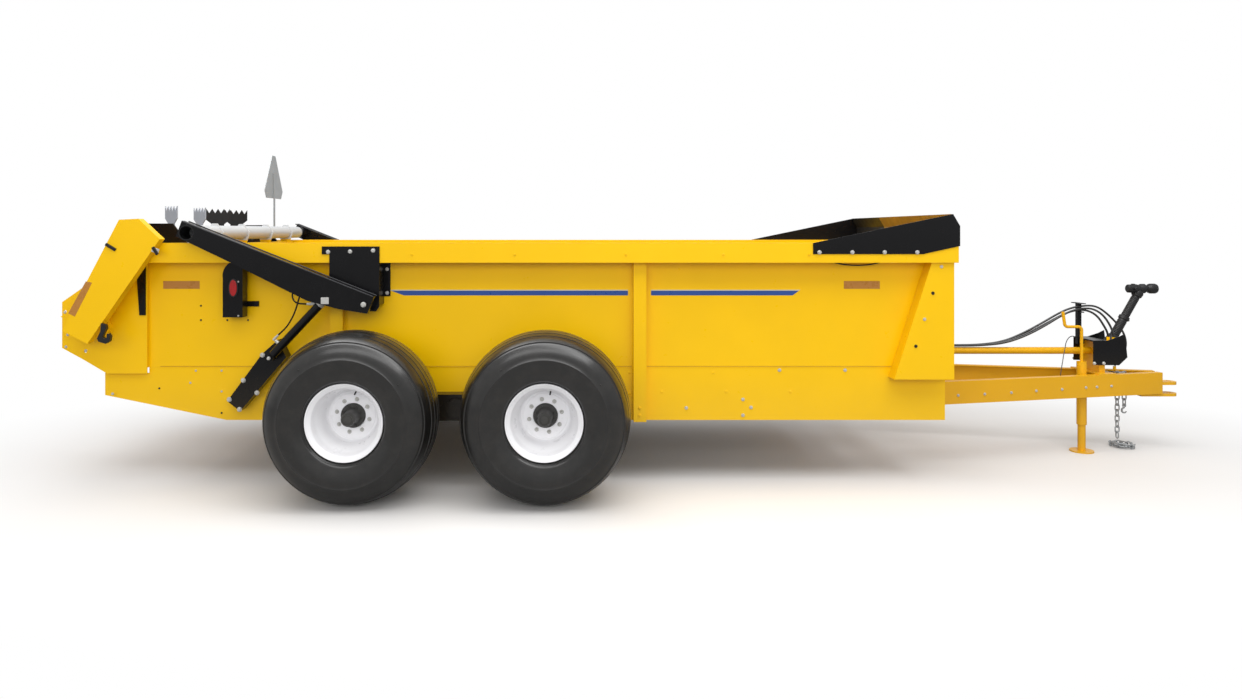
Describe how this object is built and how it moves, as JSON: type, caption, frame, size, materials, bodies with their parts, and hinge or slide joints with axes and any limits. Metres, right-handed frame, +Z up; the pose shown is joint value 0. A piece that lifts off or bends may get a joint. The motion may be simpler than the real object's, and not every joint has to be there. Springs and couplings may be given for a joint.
{
  "type": "manure spreader",
  "caption": "Towed tandem-axle manure spreader with a long open box, lifting rear endgate, horizontal beaters, drive shaft, hitch and stand jack.",
  "frame": {"origin": "bottom centre of the bounding box, on the ground between the wheels", "axes": "+X forward along the drawbar towards the hitch, +Y to the machine's left, +Z up"},
  "size_m": [7.958, 3.106, 2.252],
  "materials": {
    "yellow_paint": "semi-gloss",
    "black_paint": "semi-gloss",
    "grey_paint": "satin",
    "light_grey_paint": "satin",
    "white_paint": "semi-gloss",
    "bare_aluminium": "brushed",
    "worn_steel": "worn",
    "chrome_rod": "polished",
    "tyre_rubber": "matte",
    "stripe_blue": "satin",
    "stripe_pale": "satin",
    "reflector_tape": "glossy",
    "lens_red": "glossy",
    "floor_planks": "weathered",
    "hose_rubber": "smooth black hose cover",
    "galvanised_steel": "zinc-coated chain, slightly dull"
  },
  "bodies": {
    "spreader": {"side_panel_right": "yellow_paint", "side_panel_left": "yellow_paint", "top_rails": "yellow_paint", "lower_sills": "yellow_paint", "side_posts": "yellow_paint", "front_wall": "yellow_paint", "front_gussets": "yellow_paint", "extension_panel": "yellow_paint", "floor_bearers": "yellow_paint", "cross_members": "yellow_paint", "front_members": "yellow_paint", "drawbar_beam_right": "yellow_paint", "drawbar_beam_left": "yellow_paint", "hitch_tongues": "yellow_paint", "axle_tube": "yellow_paint", "beater_plates": "yellow_paint", "pto_support": "yellow_paint", "driveline_tube": "yellow_paint", "chain_guard": "yellow_paint", "jack_housing": "yellow_paint", "jack_crank": "yellow_paint", "beater_brackets": "black_paint", "extension_sides": "black_paint", "walking_beams": "black_paint", "gate_hangers": "black_paint", "cylinder_mounts": "black_paint", "tail_lights": "black_paint", "pto_shield": "black_paint", "front_yoke": "black_paint", "box_floor": "floor_planks", "apron": "worn_steel", "apron_shafts": "worn_steel", "line_shaft": "worn_steel", "hose_post": "black_paint", "hose_right": "hose_rubber", "hose_middle": "hose_rubber", "hose_loop": "hose_rubber", "lamp_cable": "hose_rubber", "hose_couplings": "worn_steel", "safety_chain": "galvanised_steel"},
    "wheel_front_right": {"tyre_front_right": "tyre_rubber", "wheel_front_right": "white_paint"},
    "wheel_front_left": {"tyre_front_left": "tyre_rubber", "wheel_front_left": "white_paint"},
    "wheel_rear_right": {"tyre_rear_right": "tyre_rubber", "wheel_rear_right": "white_paint"},
    "wheel_rear_left": {"tyre_rear_left": "tyre_rubber", "wheel_rear_left": "white_paint"},
    "upper_beater": {"upper_beater": "grey_paint"},
    "main_beater": {"main_beater": "yellow_paint"},
    "endgate": {"gate_arms": "black_paint", "gate_tube": "light_grey_paint", "gate_panel": "yellow_paint", "gate_sign": "bare_aluminium"},
    "cylinder_barrel_right": {"cylinder_barrel_right": "black_paint"},
    "cylinder_rod_right": {"cylinder_rod_right": "chrome_rod"},
    "cylinder_barrel_left": {"cylinder_barrel_left": "black_paint"},
    "cylinder_rod_left": {"cylinder_rod_left": "chrome_rod"},
    "jack_leg": {"jack_leg": "yellow_paint"},
    "pto_shaft": {"pto_shaft": "black_paint"}
  },
  "joints": [
    {"name": "wheel_front_right_spin", "type": "hinge", "parent": "spreader", "child": "wheel_front_right", "pos_m": [-0.7515, -1.28, 0.52], "axis": [0, 1, 0], "continuous": true},
    {"name": "wheel_front_left_spin", "type": "hinge", "parent": "spreader", "child": "wheel_front_left", "pos_m": [-0.7515, 1.28, 0.52], "axis": [0, 1, 0], "continuous": true},
    {"name": "wheel_rear_right_spin", "type": "hinge", "parent": "spreader", "child": "wheel_rear_right", "pos_m": [-1.9245, -1.28, 0.52], "axis": [0, 1, 0], "continuous": true},
    {"name": "wheel_rear_left_spin", "type": "hinge", "parent": "spreader", "child": "wheel_rear_left", "pos_m": [-1.9245, 1.28, 0.52], "axis": [0, 1, 0], "continuous": true},
    {"name": "upper_beater_spin", "type": "hinge", "parent": "spreader", "child": "upper_beater", "pos_m": [-3.347, 0, 1.575], "axis": [0, 1, 0], "continuous": true},
    {"name": "main_beater_spin", "type": "hinge", "parent": "spreader", "child": "main_beater", "pos_m": [-3.662, 0, 1.012], "axis": [0, 1, 0], "continuous": true},
    {"name": "endgate_lift", "type": "hinge", "parent": "spreader", "child": "endgate", "pos_m": [-1.8995, 0, 1.183], "axis": [0, 1, 0], "range_deg": [0, 60]},
    {"name": "cylinder_right_tilt", "type": "hinge", "parent": "spreader", "child": "cylinder_barrel_right", "pos_m": [-2.516, -1.048, 0.837], "axis": [0, 1, 0], "range_deg": [-2, 1]},
    {"name": "cylinder_right_stroke", "type": "slide", "parent": "cylinder_barrel_right", "child": "cylinder_rod_right", "axis": [0.6845, 0, 0.729], "range_m": [0, 0.26]},
    {"name": "cylinder_left_tilt", "type": "hinge", "parent": "spreader", "child": "cylinder_barrel_left", "pos_m": [-2.516, 1.048, 0.837], "axis": [0, 1, 0], "range_deg": [-2, 1]},
    {"name": "cylinder_left_stroke", "type": "slide", "parent": "cylinder_barrel_left", "child": "cylinder_rod_left", "axis": [0.6845, 0, 0.729], "range_m": [0, 0.26]},
    {"name": "jack_slide", "type": "slide", "parent": "spreader", "child": "jack_leg", "axis": [0, 0, -1], "range_m": [-0.08, 0.1]},
    {"name": "pto_swing", "type": "hinge", "parent": "spreader", "child": "pto_shaft", "pos_m": [3.451, 0, 0.738], "axis": [0, 1, 0], "range_deg": [0, 60]}
  ],
  "couplings": [
    {"joint": "cylinder_right_tilt", "follows": "endgate_lift", "ratio": -0.006801},
    {"joint": "cylinder_left_tilt", "follows": "endgate_lift", "ratio": -0.006801},
    {"joint": "cylinder_right_stroke", "follows": "endgate_lift", "m_per_rad": 0.23751},
    {"joint": "cylinder_left_stroke", "follows": "endgate_lift", "m_per_rad": 0.23751},
    {"joint": "upper_beater_spin", "follows": "main_beater_spin", "ratio": 1.25}
  ]
}
